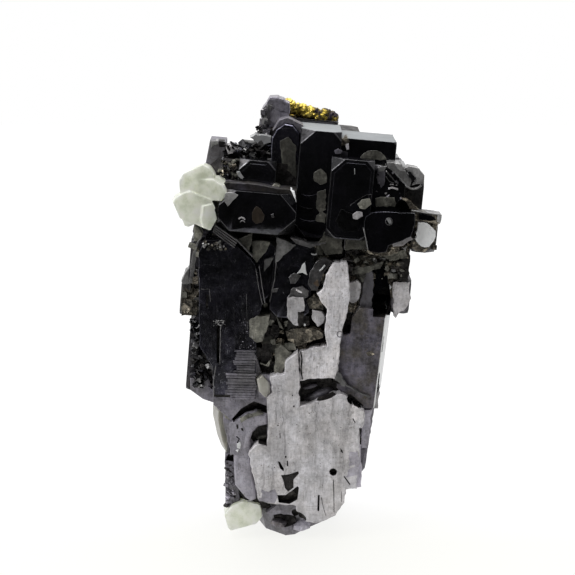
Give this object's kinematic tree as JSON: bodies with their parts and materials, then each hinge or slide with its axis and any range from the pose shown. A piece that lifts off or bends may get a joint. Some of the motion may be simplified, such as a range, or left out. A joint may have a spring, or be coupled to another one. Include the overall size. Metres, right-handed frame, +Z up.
{
  "type": "galena and chalcopyrite specimen",
  "caption": "Upright hand specimen of dark cubic ore crystals with etched pale plates, a brassy crust on top and pale clear crystals at the side.",
  "frame": {"origin": "middle of the flat broken face that the specimen stands on", "axes": "+Z up along the specimen's length, +X to the right of its show face, -Y towards the viewer of the show face"},
  "size_m": [0.0336, 0.0241, 0.0562],
  "materials": {
    "galena": "mirror-bright cube faces, etched pale plates",
    "chalcopyrite": "rough, tarnished olive and purple",
    "calcite": "cloudy, pale green-white"
  },
  "bodies": {
    "root": {"galena": "galena", "chalcopyrite_crust": "chalcopyrite", "calcite_cluster": "calcite", "calcite_foot": "calcite", "calcite_sliver": "calcite", "calcite_chip": "calcite"}
  },
  "joints": []
}
